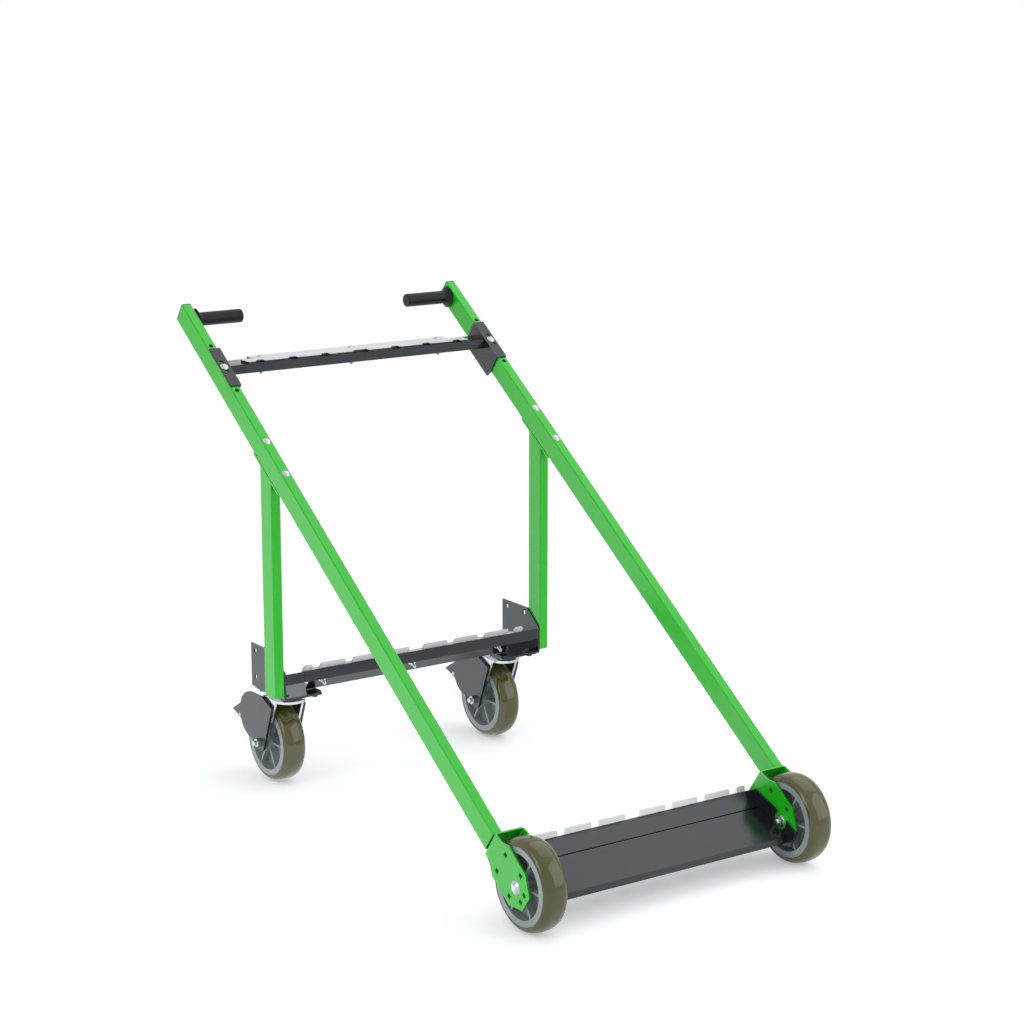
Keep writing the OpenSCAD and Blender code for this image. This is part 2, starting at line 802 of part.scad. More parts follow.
module caster_core(right) {
  caster_wheel_place(right) wheel_core(leg_in - 0.8);
}

rail(false);  // left_rail
rail(true);  // right_rail
rail_cap(false);  // left_rail_cap
rail_cap(true);  // right_rail_cap
front_fork(false);  // left_front_fork
front_fork(true);  // right_front_fork
post(false);  // left_post
post(true);  // right_post
post_head(false);  // left_post_head
post_head(true);  // right_post_head
post_bolts();
post_nuts();
caster_bracket(false);  // left_caster_bracket
caster_bracket(true);  // right_caster_bracket
rear_crossbar();
rear_strip();
rear_strip_bolts();
rear_strip_nuts();
upper_crossbar();
clamp_bracket(false);  // left_clamp_bracket
clamp_bracket(true);  // right_clamp_bracket
upper_strip();
upper_strip_bolts();
upper_strip_nuts();
clamp_bolts();
clamp_nuts();
toe_bar();
toe_plate();
toe_cheek(false);  // left_toe_cheek
toe_cheek(true);  // right_toe_cheek
toe_strip();
toe_strip_bolts();
toe_strip_nuts();
grip(false);  // left_grip
grip(true);  // right_grip
grip_peg(false);  // left_grip_peg
grip_peg(true);  // right_grip_peg
front_tread(false);  // left_front_tread
front_core(false);  // left_front_core
front_tread(true);  // right_front_tread
front_core(true);  // right_front_core
front_axle_bolts();
front_axle_nuts();
caster_plate(false);  // left_caster_plate
caster_plate(true);  // right_caster_plate
caster_plate_bolts();
caster_plate_nuts();
caster_fork(false);  // left_caster_fork
brake_covers(false);  // left_brake_covers
brake_pedal(false);  // left_brake_pedal
caster_axle(false);  // left_caster_axle
caster_tread(false);  // left_caster_tread
caster_core(false);  // left_caster_core
caster_fork(true);  // right_caster_fork
brake_covers(true);  // right_brake_covers
brake_pedal(true);  // right_brake_pedal
caster_axle(true);  // right_caster_axle
caster_tread(true);  // right_caster_tread
caster_core(true);  // right_caster_core
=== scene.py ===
# %% [markdown]
# # Dressing a panel trolley
# The trolley has two sloping green rails on wheels, a grey toe plate in front and
# three notched light strips that keep boards apart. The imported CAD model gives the
# exact shapes, so this lesson loads it first and keeps it as a fixed frame. Every
# piece made here rides on one of its bodies.

# %% Load the frame
import json
import math

import bmesh
import bpy
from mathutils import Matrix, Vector

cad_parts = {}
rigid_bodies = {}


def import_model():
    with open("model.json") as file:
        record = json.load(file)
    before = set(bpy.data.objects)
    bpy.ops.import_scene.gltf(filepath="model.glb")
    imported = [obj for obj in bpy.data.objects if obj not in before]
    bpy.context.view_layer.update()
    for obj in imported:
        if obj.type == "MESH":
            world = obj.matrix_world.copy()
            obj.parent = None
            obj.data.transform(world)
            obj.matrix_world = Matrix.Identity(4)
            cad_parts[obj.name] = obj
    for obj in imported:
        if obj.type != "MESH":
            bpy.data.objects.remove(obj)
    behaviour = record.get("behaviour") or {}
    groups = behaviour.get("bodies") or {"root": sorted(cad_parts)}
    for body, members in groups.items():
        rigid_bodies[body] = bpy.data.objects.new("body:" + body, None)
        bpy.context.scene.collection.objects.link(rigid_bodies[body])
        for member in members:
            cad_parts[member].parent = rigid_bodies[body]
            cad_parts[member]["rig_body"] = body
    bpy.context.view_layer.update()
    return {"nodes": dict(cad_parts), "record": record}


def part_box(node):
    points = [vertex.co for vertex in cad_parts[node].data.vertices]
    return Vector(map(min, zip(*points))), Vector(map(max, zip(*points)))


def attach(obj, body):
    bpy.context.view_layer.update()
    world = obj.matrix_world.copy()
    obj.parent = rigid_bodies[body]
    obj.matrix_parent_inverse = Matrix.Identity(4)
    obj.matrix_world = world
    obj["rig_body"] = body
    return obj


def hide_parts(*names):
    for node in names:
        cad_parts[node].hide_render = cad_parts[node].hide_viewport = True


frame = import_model()
nodes = frame["nodes"]
slot_of = {part["node"]: part["material_slot"] for part in frame["record"]["subparts"]}

# %% [markdown]
# ## Node groups for surfaces
# Powder coat, moulded plastic and plated steel share a few effects: a fine skin with a
# slow change of tone over a hand's width, and a little floor dust low down. Drawn in
# each material, the same nodes would repeat, so each effect is one shader group. It
# reads Object coordinates, so that it doesn't slide when a piece moves.


# %% Small helpers for node trees
def add_node(tree, kind, **values):
    made = tree.nodes.new(kind)
    for key, value in values.items():
        setattr(made, key, value)
    return made


def new_group(name, inputs, outputs):
    tree = bpy.data.node_groups.new(name, "ShaderNodeTree")
    for label, kind, value in inputs:
        socket = tree.interface.new_socket(label, in_out="INPUT", socket_type=kind)
        socket.default_value = value
    for label, kind in outputs:
        tree.interface.new_socket(label, in_out="OUTPUT", socket_type=kind)
    return tree, tree.nodes.new("NodeGroupInput"), tree.nodes.new("NodeGroupOutput")


def noise(tree, coords, scale, detail=2.0):
    made = add_node(tree, "ShaderNodeTexNoise")
    made.inputs["Detail"].default_value = detail
    if isinstance(scale, float):
        made.inputs["Scale"].default_value = scale
    else:
        tree.links.new(scale, made.inputs["Scale"])
    tree.links.new(coords, made.inputs["Vector"])
    return made.outputs["Fac"]


def remap(tree, value, low, high):
    """Maps the middle of a noise, 0.3 to 0.7, to low and high."""
    made = add_node(tree, "ShaderNodeMapRange")
    made.inputs["From Min"].default_value = 0.3
    made.inputs["From Max"].default_value = 0.7
    for label, end in (("To Min", low), ("To Max", high)):
        if isinstance(end, float):
            made.inputs[label].default_value = end
        else:
            tree.links.new(end, made.inputs[label])
    tree.links.new(value, made.inputs["Value"])
    return made.outputs["Result"]


def tinted(tree, colour, factor):
    """The colour times a grey factor that changes over the surface."""
    made = add_node(tree, "ShaderNodeMix", data_type="RGBA", blend_type="MULTIPLY")
    made.inputs["Factor"].default_value = 1.0
    tree.links.new(colour, made.inputs["A"])
    tree.links.new(factor, made.inputs["B"])
    return made.outputs["Result"]


# %% The skin group: fine grain, slow tone and a roughness that follows both
def make_skin_group():
    tree, given, out = new_group(
        "fine_skin",
        [
            ("Color", "NodeSocketColor", (0.5, 0.5, 0.5, 1)),
            ("Grain Scale", "NodeSocketFloat", 900.0),
            ("Tone Low", "NodeSocketFloat", 0.95),
            ("Rough Low", "NodeSocketFloat", 0.35),
            ("Rough High", "NodeSocketFloat", 0.45),
        ],
        [("Color", "NodeSocketColor"), ("Roughness", "NodeSocketFloat"), ("Height", "NodeSocketFloat")],
    )
    coords = add_node(tree, "ShaderNodeTexCoord").outputs["Object"]
    grain = noise(tree, coords, given.outputs["Grain Scale"])
    slow = noise(tree, coords, scale=7.0, detail=3.0)
    tone = remap(tree, slow, given.outputs["Tone Low"], 1.0)
    tree.links.new(tinted(tree, given.outputs["Color"], tone), out.inputs["Color"])
    rough = remap(tree, slow, given.outputs["Rough Low"], given.outputs["Rough High"])
    tree.links.new(rough, out.inputs["Roughness"])
    tree.links.new(grain, out.inputs["Height"])
    return tree


skin = make_skin_group()
print("group", skin.name, "outputs", [s.name for s in skin.interface.items_tree if s.in_out == "OUTPUT"])


# %% The dust group: faint floor dust, which fades out with the height above the floor
def make_dust_group():
    tree, given, out = new_group(
        "floor_dust",
        [
            ("Color", "NodeSocketColor", (0.5, 0.5, 0.5, 1)),
            ("Dust Color", "NodeSocketColor", (0.42, 0.41, 0.39, 1)),
            ("Top", "NodeSocketFloat", 0.09),
            ("Amount", "NodeSocketFloat", 0.15),
        ],
        [("Color", "NodeSocketColor")],
    )
    coords = add_node(tree, "ShaderNodeTexCoord").outputs["Object"]
    split = add_node(tree, "ShaderNodeSeparateXYZ")
    tree.links.new(coords, split.inputs["Vector"])
    fade = add_node(tree, "ShaderNodeMapRange", interpolation_type="SMOOTHSTEP")
    fade.inputs["From Min"].default_value = 0.0
    fade.inputs["To Min"].default_value = 1.0
    fade.inputs["To Max"].default_value = 0.0
    tree.links.new(split.outputs["Z"], fade.inputs["Value"])
    tree.links.new(given.outputs["Top"], fade.inputs["From Max"])
    cloud = remap(tree, noise(tree, coords, scale=60.0, detail=4.0), 0.0, given.outputs["Amount"])
    share = add_node(tree, "ShaderNodeMath", operation="MULTIPLY")
    tree.links.new(fade.outputs["Result"], share.inputs[0])
    tree.links.new(cloud, share.inputs[1])
    mixed = add_node(tree, "ShaderNodeMix", data_type="RGBA")
    tree.links.new(share.outputs["Value"], mixed.inputs["Factor"])
    tree.links.new(given.outputs["Color"], mixed.inputs["A"])
    tree.links.new(given.outputs["Dust Color"], mixed.inputs["B"])
    tree.links.new(mixed.outputs["Result"], out.inputs["Color"])
    return tree


dust = make_dust_group()
print("group", dust.name, "inputs", [s.name for s in dust.interface.items_tree if s.in_out == "INPUT"])

# %% [markdown]
# ## Finishes
# The frame is a semi-gloss green powder coat and the plates a satin dark grey one. Most
# fasteners and the caster forks are bright zinc, the strips and wheel cores moulded
# plastic, the treads glossy olive polyurethane and the grips matte rubber. Images would
# have to be unwrapped and would show seams, so every finish is one Principled shader fed
# by the groups, with its own colour and grain. The upper and the rear strip get greys of
# their own, darker than the toe strip, and both are painted light: the upper one is a
# painted sheen on the top of a black strip, and the rear one is painted shade on a face
# that looks down.


# %% Build a finish
grain_depth = 0.0002


def make_finish(name, colour, rough, grain, tone, bump, dusty=0.0, **sockets):
    """rough holds the lowest and highest roughness, tone the darkest shade of the colour."""
    made = bpy.data.materials.new(name)
    made.use_nodes = True
    tree = made.node_tree
    shader = tree.nodes["Principled BSDF"]
    surface = add_node(tree, "ShaderNodeGroup", node_tree=skin)
    surface.inputs["Color"].default_value = (*colour, 1)
    surface.inputs["Grain Scale"].default_value = grain
    surface.inputs["Tone Low"].default_value = tone
    surface.inputs["Rough Low"].default_value = rough[0]
    surface.inputs["Rough High"].default_value = rough[1]
    shade = surface.outputs["Color"]
    if dusty:
        layer = add_node(tree, "ShaderNodeGroup", node_tree=dust)
        layer.inputs["Amount"].default_value = dusty
        tree.links.new(shade, layer.inputs["Color"])
        shade = layer.outputs["Color"]
    tree.links.new(shade, shader.inputs["Base Color"])
    tree.links.new(surface.outputs["Roughness"], shader.inputs["Roughness"])
    relief = add_node(tree, "ShaderNodeBump")
    relief.inputs["Strength"].default_value = bump
    relief.inputs["Distance"].default_value = grain_depth
    tree.links.new(surface.outputs["Height"], relief.inputs["Height"])
    tree.links.new(relief.outputs["Normal"], shader.inputs["Normal"])
    for label, value in sockets.items():
        shader.inputs[label.replace("_", " ")].default_value = value
    return made


# %% The trolley's finishes, one for each material slot of the record
strip_surface = {"rough": (0.3, 0.38), "grain": 1400.0, "tone": 0.97, "bump": 0.05}
finishes = {
    "green_paint": make_finish("green_powder_coat", (0.01, 0.475, 0.007), rough=(0.2, 0.28),
                               grain=420.0, tone=0.96, bump=0.05),
    "grey_paint": make_finish("grey_powder_coat", (0.0075, 0.0095, 0.013), rough=(0.18, 0.28),
                              grain=1600.0, tone=0.9, bump=0.06, dusty=0.03,
                              Specular_Tint=(0.9, 0.95, 1.0, 1)),
    "zinc": make_finish("bright_zinc", (0.52, 0.535, 0.56), rough=(0.14, 0.28),
                        grain=500.0, tone=0.88, bump=0.04, Metallic=1.0),
    "strip_white": make_finish("strip_plastic", (0.9, 0.92, 0.955), **strip_surface),
    "cap_black": make_finish("cap_plastic", (0.004, 0.004, 0.005), rough=(0.4, 0.52),
                             grain=1500.0, tone=0.9, bump=0.12),
    "grip_rubber": make_finish("grip_rubber", (0.004, 0.005, 0.007), rough=(0.4, 0.5),
                               grain=1900.0, tone=0.88, bump=0.2, IOR=1.33),
    "core_grey": make_finish("core_nylon", (0.27, 0.31, 0.32), rough=(0.3, 0.4),
                             grain=1200.0, tone=0.94, bump=0.06, dusty=0.06),
    "tread_olive": make_finish("tread_polyurethane", (0.08, 0.077, 0.022), rough=(0.04, 0.08),
                               grain=300.0, tone=0.86, bump=0.015, dusty=0.08),
}
# The strip greys are painted light: a light grey that paints the sheen on the upper strip's top, and a
# darker grey that paints the shade on the rear strip.
painted_light_strip_finishes = {
    "upper_strip": make_finish("upper_strip_painted_sheen", (0.64, 0.66, 0.7), **strip_surface),
    "rear_strip": make_finish("rear_strip_painted_shade", (0.5, 0.51, 0.545), **strip_surface),
}
print("finishes:", sorted(finishes), "strips with their own tone:", sorted(painted_light_strip_finishes))

# %% [markdown]
# ## Folded sheet, tube and fasteners
# A CAD solid has knife edges, and real sheet, tube and mouldings don't: a thin round on
# each edge is what draws the light lines in the photo. Remaking all these pieces would
# lose the exact fit, so each one is a copy of its CAD node. Its loose triangles are
# merged, flat faces joined, and the sharp edges bevelled by a size for its material.


# %% Turn a bmesh into a finished piece
def settle_order(elements, place):
    """Orders points or faces by place: spin and bevel leave them in a new order each run."""
    for rank, element in enumerate(sorted(elements, key=place)):
        element.index = rank
    elements.sort()


def as_piece(name, bm, slot, body, sharp=32.0, finish=None):
    mesh = bpy.data.meshes.new(name)
    settle_order(bm.verts, lambda vert: vert.co.to_tuple(6))
    settle_order(bm.faces, lambda face: face.calc_center_median().to_tuple(6))
    for face in bm.faces:
        face.smooth = True
    bm.to_mesh(mesh)
    bm.free()
    mesh.set_sharp_from_angle(angle=math.radians(sharp))
    made = bpy.data.objects.new(name, mesh)
    bpy.context.scene.collection.objects.link(made)
    mesh.materials.append(finish or finishes[slot])
    even = made.modifiers.new("even_flats", "WEIGHTED_NORMAL")
    even.keep_sharp = True
    even.weight = 100
    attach(made, body)
    return made


def join_flats(bm):
    """Joins the triangles that lie in one plane."""
    flat = math.radians(0.4)
    bmesh.ops.dissolve_limit(bm, angle_limit=flat, verts=bm.verts, edges=bm.edges)


def merged_copy(node):
    bm = bmesh.new()
    bm.from_mesh(nodes[node].data)
    bmesh.ops.remove_doubles(bm, verts=bm.verts, dist=2e-6)
    join_flats(bm)
    return bm


def round_edges(bm, width):
    least = math.radians(28.0)
    sharp = [e for e in bm.edges if e.is_manifold and e.calc_face_angle(0.0) > least]
    bmesh.ops.bevel(bm, geom=sharp, offset=width, offset_type="OFFSET", affect="EDGES",
                    segments=2, profile=0.5, material=-1, clamp_overlap=True)
    bmesh.ops.remove_doubles(bm, verts=bm.verts, dist=3e-6)


def clip_corners(bm):
    """Takes the six outer corners off each end of a hexagon nut."""
    bore_edge, cut = 0.002, 0.0011
    rims = [v for v in bm.verts if len(v.link_edges) == 3
            and all(e.calc_length() > bore_edge for e in v.link_edges)]
    bmesh.ops.bevel(bm, geom=rims, offset=cut, offset_type="OFFSET", affect="VERTICES",
                    segments=1, profile=0.5, material=-1, clamp_overlap=True)


# %% Copy every node that keeps its CAD shape
edge_round = {
    "green_paint": 0.0009,
    "grey_paint": 0.0008,
    "zinc": 0.0005,
    "strip_white": 0.0009,
    "cap_black": 0.0009,
    "core_grey": 0.0014,
}
remade = [n for n in nodes if slot_of[n] in ("tread_olive", "grip_rubber") or n.endswith("_bolts")]
remade.append("upper_strip")
for node in sorted(set(nodes) - set(remade)):
    slot = slot_of[node]
    bm = merged_copy(node)
    if node.endswith("_nuts"):
        clip_corners(bm)
    round_edges(bm, edge_round[slot])
    # The rear strip gets its darker grey here, which is painted shade.
    piece = as_piece(node + "_dressed", bm, slot, nodes[node]["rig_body"],
                     finish=painted_light_strip_finishes.get(node))
    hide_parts(node)
print("dressed copies:", len(nodes) - len(remade))

# %% [markdown]
# ## Turned pieces
# Bolts, treads, grips and rings are all round about one line. A lathe or a round mould
# makes them, and here a half profile is spun about X and then laid along its own line.


# %% Turn a profile about a line
def turned(profile, centre, steps=96, line=(1, 0, 0)):
    """profile holds (x, r) pairs in metres, closed. x runs along the line from the centre."""
    bm = bmesh.new()
    points = [bm.verts.new((x, 0.0, r)) for x, r in profile]
    edges = [bm.edges.new((a, b)) for a, b in zip(points, points[1:] + points[:1])]
    bmesh.ops.spin(bm, geom=points + edges, cent=(0, 0, 0), axis=(1, 0, 0), angle=math.tau,
                   steps=steps, use_merge=True, use_duplicate=False)
    bmesh.ops.remove_doubles(bm, verts=bm.verts, dist=1e-6)
    bmesh.ops.recalc_face_normals(bm, faces=bm.faces)
    lay_along(bm, line, centre)
    return bm


def lay_along(bm, line, centre):
    turn = Vector((1, 0, 0)).rotation_difference(Vector(line)).to_matrix()
    bmesh.ops.rotate(bm, verts=bm.verts, cent=(0, 0, 0), matrix=turn)
    bmesh.ops.translate(bm, verts=bm.verts, vec=centre)


def arc(x, r, radius, start, stop, steps):
    """Points of a round, with the angle counted from +r towards +x, in degrees."""
    turns = [math.radians(start + (stop - start) * i / steps) for i in range(steps + 1)]
    return [(x + radius * math.sin(a), r + radius * math.cos(a)) for a in turns]


def join(bm, other):
    """Adds a second mesh to the first and frees it."""
    mesh = bpy.data.meshes.new("joined")
    other.to_mesh(mesh)
    other.free()
    bm.from_mesh(mesh)
    bpy.data.meshes.remove(mesh)


# %% [markdown]
# ## Bolts
# The frame is held by carriage bolts: a low dome, a plain shank and a rolled thread at
# the tip. The thread shows under the upper bar, in front of the rear bar and inside the
# forks. Its ridge is a small roof profile spun with a step along the bolt, so that it
# climbs one pitch a turn. A node holds several bolts, and each is found as a loose group
# of points.


# %% The groups of points in a node
def loose_groups(node):
    """One list of places for each solid, in the order of the node's own points."""
    bm = merged_copy(node)
    found, groups = set(), []
    for first in bm.verts:
        if first in found:
            continue
        found.add(first)
        waiting, group = [first], []
        while waiting:
            vert = waiting.pop()
            group.append(vert.co.copy())
            near = [e.other_vert(vert) for e in vert.link_edges]
            fresh = [v for v in near if v not in found]
            found.update(fresh)
            waiting += fresh
        groups.append(group)
    bm.free()
    return groups


def span(points, line):
    """The two ends of the points on a line, as places on the line through their middle."""
    line = Vector(line)
    side = line.orthogonal().normalized()
    other = line.cross(side)
    reach = [[p.dot(d) for p in points] for d in (side, other, line)]
    middle = side * (min(reach[0]) + max(reach[0])) / 2 + other * (min(reach[1]) + max(reach[1])) / 2
    return middle + line * min(reach[2]), middle + line * max(reach[2])


# %% One bolt, with its head seat at x = 0 and its tip at -length
head_rise = 1.1


def thread(r, depth, pitch, start, turns, steps=20):
    """A closed ridge: its foot is sunk a little into the root of the bolt."""
    bm = bmesh.new()
    sunk = 0.00005
    foot = r - depth - sunk
    roof = [(start, foot), (start + pitch * 0.45, r),
            (start + pitch * 0.55, r), (start + pitch * 0.99, foot)]
    points = [bm.verts.new((x, 0.0, z)) for x, z in roof]
    edges = [bm.edges.new(pair) for pair in zip(points, points[1:] + points[:1])]
    bmesh.ops.spin(bm, geom=points + edges, cent=(0, 0, 0), axis=(1, 0, 0), dvec=(pitch / steps, 0, 0),
                   angle=math.tau * turns, steps=steps * turns, use_merge=False, use_duplicate=False)
    bmesh.ops.holes_fill(bm, edges=[e for e in bm.edges if e.is_boundary], sides=4)
    bmesh.ops.recalc_face_normals(bm, faces=bm.faces)
    return bm


def bolt(length, r):
    head, rise, dome = 2.55 * r, head_rise * r, 3.6 * r
    pitch, depth = 0.31 * r, 0.17 * r
    turns = int(min(0.55 * length, 0.024) / pitch)
    root, run = r - depth, turns * pitch
    chamfer, rim, thread_start, thread_end = 0.0006, 0.0002, 0.0008 - length, 0.001 + run - length
    tip = [(-length, 0.0), (-length, root - chamfer), (chamfer - length, root), (thread_end, root)]
    shank = [(thread_end + chamfer, r), (0.0, r), (0.0, head - rim), (rim, head)]
    inside_rim = 0.6
    widest = math.degrees(math.asin(head / dome)) - inside_rim
    crown = arc(rise - dome, 0.0, dome, 90 - widest, 90, 10)[:-1] + [(rise, 0.0)]
    bm = turned(tip + shank + crown, (0, 0, 0), steps=40)
    join(bm, thread(r, depth, pitch, thread_start, turns))
    return bm


# %% The bolts of every node, with the direction in which their heads point
slope = math.radians(35.3)
off_rail = (0, -math.sin(slope), math.cos(slope))
up_rail = (0, math.cos(slope), math.sin(slope))
heads_point = {"post": off_rail, "clamp": off_rail, "rear_strip": up_rail, "upper_strip": (0, 0, 1),
               "toe_strip": (0, 1, 0), "caster_plate": (0, 0, 1), "front_axle": None}


def bolt_radius(name):
    return 0.006 if name == "front_axle" else 0.004


def head_line(name, group):
    """The axle heads point away from the middle of the trolley."""
    return heads_point[name] or ((1, 0, 0) if group[0].x > 0 else (-1, 0, 0))


for name in heads_point:
    node = name + "_bolts"
    r = bolt_radius(name)
    whole = bmesh.new()
    for group in loose_groups(node):
        line = head_line(name, group)
        low, high = span(group, line)
        seat = high - Vector(line) * head_rise * r
        made = bolt((seat - low).length, r)
        lay_along(made, line, seat)
        join(whole, made)
    piece = as_piece(node + "_turned", whole, slot_of[node], nodes[node]["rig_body"], sharp=40.0)
    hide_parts(node)
    print(piece.name, "faces", len(piece.data.polygons))

# %% [markdown]
# ## Nut flanges
# The photo's nuts sit on a wider foot. The hexagons already have their CAD shape, so the
# flange isn't cut into them: a small cone under each one is enough, with its flat side
# on the sheet that the bolt clamps.

# %% Spin the flanges
for name in heads_point:
    node = name + "_nuts"
    r = bolt_radius(name)
    rim, bore, neck = 1.88 * r + 0.0022, r + 0.0003, 1.5 * r
    seat, rim_low, rim_high, top, chamfer = -0.00005, -0.0003, -0.001, -0.0026, 0.0002
    foot = [(seat, bore), (seat, rim - chamfer), (rim_low, rim), (rim_high, rim), (top, neck), (top, bore)]
    whole = bmesh.new()
    for group in loose_groups(node):
        line = head_line(name, group)
        low, high = span(group, line)
        join(whole, turned(foot, high, steps=48, line=line))
    piece = as_piece(name + "_nut_flanges", whole, slot_of[node], nodes[node]["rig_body"])
    print(piece.name, "rim", round(rim, 4))

# %% [markdown]
# ## Upper strip
# Seen along its top, the upper strip shows a light face and black edges. It is built as
# two layers: a black backing, and on it a thin light sheet whose colour paints the sheen
# of the top face. Both come from the CAD strip, cut flat at one height, and the cut is
# filled again.


# %% Keep one side of a flat cut
def cut_layer(node, height, keep_top):
    bm = merged_copy(node)
    done = bmesh.ops.bisect_plane(bm, geom=bm.verts[:] + bm.edges[:] + bm.faces[:], dist=1e-6,
                                  plane_co=(0, 0, height), plane_no=(0, 0, 1),
                                  clear_inner=keep_top, clear_outer=not keep_top)
    rim = [g for g in done["geom_cut"] if isinstance(g, bmesh.types.BMEdge)]
    bmesh.ops.triangle_fill(bm, edges=rim, use_beauty=True)
    join_flats(bm)
    bmesh.ops.recalc_face_normals(bm, faces=bm.faces)
    return bm


# %% The painted-sheen sheet and its black backing
# The thin top layer carries the painted sheen of the top face; the backing keeps the strip's black.
sheen_layer_t, layer_round = 0.0016, 0.0004
low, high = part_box("upper_strip")
joint = high.z - sheen_layer_t
painted_sheen_layer = cut_layer("upper_strip", joint, True)
round_edges(painted_sheen_layer, layer_round)
piece = as_piece("upper_strip_painted_sheen", painted_sheen_layer, "strip_white", nodes["upper_strip"]["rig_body"],
                 finish=painted_light_strip_finishes["upper_strip"])
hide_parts("upper_strip")
backing = cut_layer("upper_strip", joint, False)
round_edges(backing, layer_round)
as_piece("upper_strip_backing", backing, "cap_black", nodes["upper_strip"]["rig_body"])
print("upper strip layers", round(high.z - joint, 4), round(joint - low.z, 4))

# %% [markdown]
# ## Treads
# The wheels have thick olive treads with round shoulders, cast on to grey cores. A torus
# would be too round and a bevelled ring too flat, so each crown is a superellipse: a
# power of its sine and cosine below one makes it fuller than an ellipse. A small bead at
# the core's edge gives the light ring that the photo shows.

# %% Spin the four treads
full, shy = 0.82, 0.0003
crown_turns = [math.radians(5 * i) for i in range(15)]
for node in sorted(n for n in remade if slot_of[n] == "tread_olive"):
    low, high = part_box(node)
    centre = (low + high) / 2
    half, outer = (high.x - low.x) / 2, (high.z - low.z) / 2
    inner, depth, bead, bead_gap = outer * 0.84, 0.0165, 0.0016, 0.0004
    crown = [((half - shy) * math.sin(a) ** full, outer - depth + depth * math.cos(a) ** full)
             for a in crown_turns]
    lip = arc(half - bead, inner + bead + bead_gap, bead, 60, 180, 5)
    side = crown + lip + [(half - bead, inner)]
    profile = side + [(-x, r) for x, r in reversed(side)]
    bm = turned(profile, centre, steps=128)
    piece = as_piece(node + "_turned", bm, "tread_olive", nodes[node]["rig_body"])
    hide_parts(node)
    print(piece.name, "width", round(2 * half, 4), "radius", round(outer, 4))

# %% [markdown]
# ## Grips
# Each grip is a black rubber sleeve that flares to a collar against the rail and ends in
# a round tip with a shallow dimple. Scaled rings of a cylinder would make the flare too
# coarse, so one closed profile of arcs is spun. It runs from the open end to the tip.

# %% Spin the two grips
for node in sorted(n for n in remade if slot_of[n] == "grip_rubber"):
    low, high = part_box(node)
    centre = (low + high) / 2
    half, collar = (high.x - low.x) / 2, (high.z - low.z) / 2
    sleeve, bore, tip = collar - 0.005, 0.0101, 0.0035
    collar_round, collar_back, flare, flare_back = 0.0012, 0.0036, 0.0165, 0.021
    dimple_rim, dimple_r, dimple_floor, end_wall = 0.004, 0.0035, 0.0006 - half, 0.008 - half
    outline = [(half, bore)]
    outline += arc(half - collar_round, collar - collar_round, collar_round, 90, 0, 4)
    outline += arc(half - collar_back, collar - collar_round, collar_round, 0, -80, 3)
    outline += arc(half - flare_back, sleeve + flare, flare, 112, 180, 8)
    outline += arc(tip - half, sleeve - tip, tip, 0, -90, 6)
    outline += [(-half, dimple_rim), (dimple_floor, dimple_r), (dimple_floor, 0.0)]
    outline += [(end_wall, 0.0), (end_wall, bore)]
    line = (1, 0, 0) if centre.x > 0 else (-1, 0, 0)
    bm = turned(outline, centre, steps=64, line=line)
    piece = as_piece(node + "_turned", bm, "grip_rubber", nodes[node]["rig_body"])
    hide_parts(node)
    print(piece.name, "length", round(2 * half, 4))

# %% [markdown]
# ## Casters
# A bright rivet shows on each side of the brake pedal, behind the cover. A turned skirt
# closes the swivel race, as on a real caster, where it keeps dust out of the balls. Both
# are small and round, so a few points of a profile are enough to spin them.

# %% Rivets and skirts
rivet_from_axle, rivet_out = Vector((0.0, 0.106, 0.043)), 0.0415
button = [(-0.0004, 0.0), (-0.0004, 0.0044), (0.0003, 0.0044), (0.0009, 0.0036),
          (0.0014, 0.002), (0.0016, 0.0)]
skirt = [(0.0, 0.0355), (0.0, 0.0405), (-0.0008, 0.041), (-0.0022, 0.0395), (-0.0034, 0.0395),
         (-0.0052, 0.0375), (-0.0052, 0.0355)]
plate_t = 0.005
for side in ("left", "right"):
    low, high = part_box(side + "_caster_tread")
    axle = (low + high) / 2
    rivet_at = axle + rivet_from_axle
    rivets = bmesh.new()
    for way in (-1, 1):
        outwards = Vector((way, 0, 0))
        join(rivets, turned(button, rivet_at + outwards * rivet_out, steps=32, line=outwards))
    as_piece(side + "_pedal_rivets", rivets, "zinc", nodes[side + "_brake_pedal"]["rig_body"], sharp=50.0)
    low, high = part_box(side + "_caster_plate")
    under = Vector(((low.x + high.x) / 2, (low.y + high.y) / 2, high.z - plate_t))
    bm = turned(skirt, under, steps=72, line=(0, 0, 1))
    as_piece(side + "_race_skirt", bm, "zinc", nodes[side + "_caster_plate"]["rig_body"], sharp=40.0)
    print(side, "rivets beside", [round(v, 4) for v in rivet_at], "skirt under", round(under.z, 4))

# %% [markdown]
# ## Camera, floor and light
# The photo is a studio shot from the front left, well above the grips. The camera
# stands where the straight edges of the trolley put it. A backdrop that curves up behind
# would show a band of shade, so the floor is one wide pale sheet that keeps soft shadows
# near the wheels and fades to plain white further out.

# %% The camera
view = bpy.data.cameras.new("studio_camera")
view.sensor_width = 36.0
view.lens = 87.135
camera = bpy.data.objects.new("studio_camera", view)
tilt_down, turn_right = 12.68, 34.462
camera.location = (-3.0785, -4.5755, 1.9486)
camera.rotation_euler = (math.radians(90 - tilt_down), 0.0, math.radians(-turn_right))
bpy.context.scene.collection.objects.link(camera)
bpy.context.scene.camera = camera
print("camera at", camera.location[:], "lens", round(view.lens, 2))


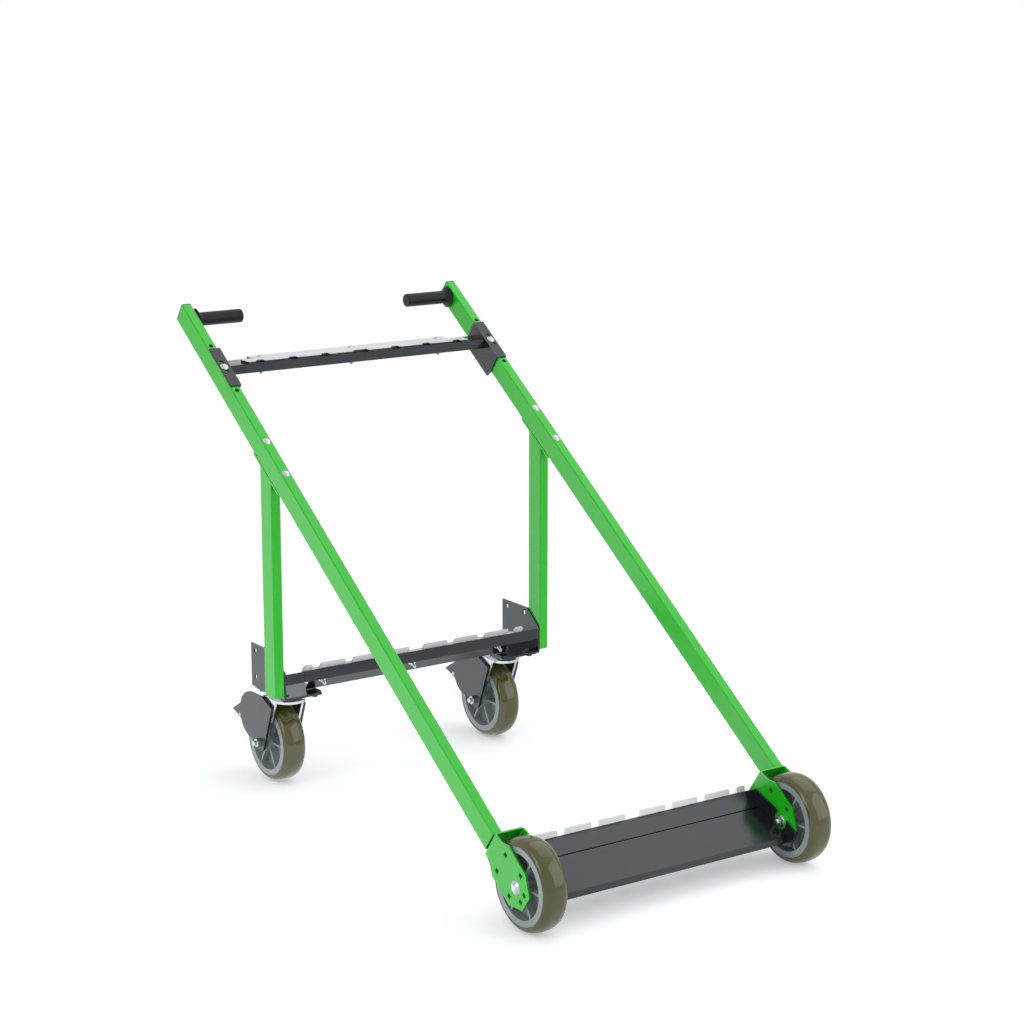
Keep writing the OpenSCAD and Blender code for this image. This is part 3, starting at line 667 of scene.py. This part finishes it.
# %% Light that is seen: camera, glossy and transmission rays
def seen_rays(tree):
    path = add_node(tree, "ShaderNodeLightPath")
    total = path.outputs["Is Camera Ray"]
    for label in ("Is Glossy Ray", "Is Transmission Ray"):
        more = add_node(tree, "ShaderNodeMath", operation="MAXIMUM")
        tree.links.new(total, more.inputs[0])
        tree.links.new(path.outputs[label], more.inputs[1])
        total = more.outputs["Value"]
    return total


def seen_strength(tree, hidden, shown):
    """A strength of shown for the rays that see a surface, and of hidden for its light."""
    made = add_node(tree, "ShaderNodeMapRange")
    made.inputs["To Min"].default_value = hidden
    made.inputs["To Max"].default_value = shown
    tree.links.new(seen_rays(tree), made.inputs["Value"])
    return made.outputs["Result"]


# %% The world
surround = {"hidden": 0.7, "shown": 1.0}
studio = bpy.data.worlds.new("studio")
studio.use_nodes = True
backdrop = studio.node_tree.nodes["Background"]
backdrop.inputs["Color"].default_value = (1, 1, 1, 1)
studio.node_tree.links.new(seen_strength(studio.node_tree, **surround), backdrop.inputs["Strength"])
bpy.context.scene.world = studio
print("world", studio.name, surround)

# %% The floor
floor_paint = bpy.data.materials.new("studio_floor")
floor_paint.use_nodes = True
tree = floor_paint.node_tree
tree.nodes.remove(tree.nodes["Principled BSDF"])
coords = add_node(tree, "ShaderNodeTexCoord").outputs["Object"]
reach = add_node(tree, "ShaderNodeVectorMath", operation="LENGTH")
tree.links.new(coords, reach.inputs[0])
far = add_node(tree, "ShaderNodeMapRange", interpolation_type="SMOOTHSTEP")
fade_start, fade_end = 1.3, 2.6
far.inputs["From Min"].default_value = fade_start
far.inputs["From Max"].default_value = fade_end
tree.links.new(reach.outputs["Value"], far.inputs["Value"])
matte = add_node(tree, "ShaderNodeBsdfDiffuse")
matte.inputs["Color"].default_value = (0.85, 0.85, 0.85, 1)
glow = add_node(tree, "ShaderNodeEmission")
glow.inputs["Color"].default_value = (0.9, 0.965, 1.0, 1)
tree.links.new(seen_strength(tree, hidden=0.05, shown=0.35), glow.inputs["Strength"])
near = add_node(tree, "ShaderNodeAddShader")
tree.links.new(matte.outputs["BSDF"], near.inputs[0])
tree.links.new(glow.outputs["Emission"], near.inputs[1])
plain = add_node(tree, "ShaderNodeEmission")
tree.links.new(seen_strength(tree, **surround), plain.inputs["Strength"])
blend = add_node(tree, "ShaderNodeMixShader")
tree.links.new(far.outputs["Result"], blend.inputs["Fac"])
tree.links.new(near.outputs["Shader"], blend.inputs[1])
tree.links.new(plain.outputs["Emission"], blend.inputs[2])
tree.links.new(blend.outputs["Shader"], tree.nodes["Material Output"].inputs["Surface"])
bm = bmesh.new()
floor_half = 200.0
bmesh.ops.create_grid(bm, x_segments=1, y_segments=1, size=floor_half)
sheet = bpy.data.meshes.new("studio_floor")
bm.to_mesh(sheet)
bm.free()
sheet.materials.append(floor_paint)
floor = bpy.data.objects.new("studio_floor", sheet)
bpy.context.scene.collection.objects.link(floor)
print("floor fades to white from", fade_start, "to", fade_end, "m")

# %% [markdown]
# ## Soft boxes
# Three large boxes light the trolley from above, the front right and the left. Point
# lamps would leave hard spots on the glossy treads, and a large dim box leaves a faint
# panel, as in the photo. The grey plates mirror the floor behind them on the left, so a
# wide card lies there. Only reflections see it, and it leaves the floor and the shadows
# as they are.


# %% Hang the boxes and lay the card
def soft_box(name, place, aim, width, height, power, diffuse=True, tint=(1, 1, 1)):
    lamp = bpy.data.lights.new(name, "AREA")
    lamp.shape = "RECTANGLE"
    lamp.size, lamp.size_y = width, height
    lamp.energy = power
    lamp.color = tint
    made = bpy.data.objects.new(name, lamp)
    made.location = place
    made.rotation_euler = (Vector(aim) - Vector(place)).to_track_quat("-Z", "Y").to_euler()
    made.visible_camera = False
    made.visible_diffuse = diffuse
    bpy.context.scene.collection.objects.link(made)
    print(name, width, "x", height, "m,", power, "W")


soft_box("overhead_box", (1.5, 0.2, 3.4), (0.0, 0.0, 0.3), 3.2, 3.2, 25.0)
soft_box("front_box", (2.6, -3.4, 2.1), (0.0, -0.3, 0.3), 3.6, 3.8, 60.0)
soft_box("left_box", (-3.4, -0.4, 1.7), (0.0, 0.1, 0.5), 1.8, 2.2, 30.0)
soft_box("floor_card", (-1.45, 2.1, 0.004), (-1.45, 2.1, 1.0), 3.5, 5.4, 38.0,
         diffuse=False, tint=(0.9, 0.95, 1.0))

# %% [markdown]
# ## View transform
# The view transform stays Standard, so colours come out as written.

# %% Settings
bpy.context.scene.view_settings.view_transform = "Standard"
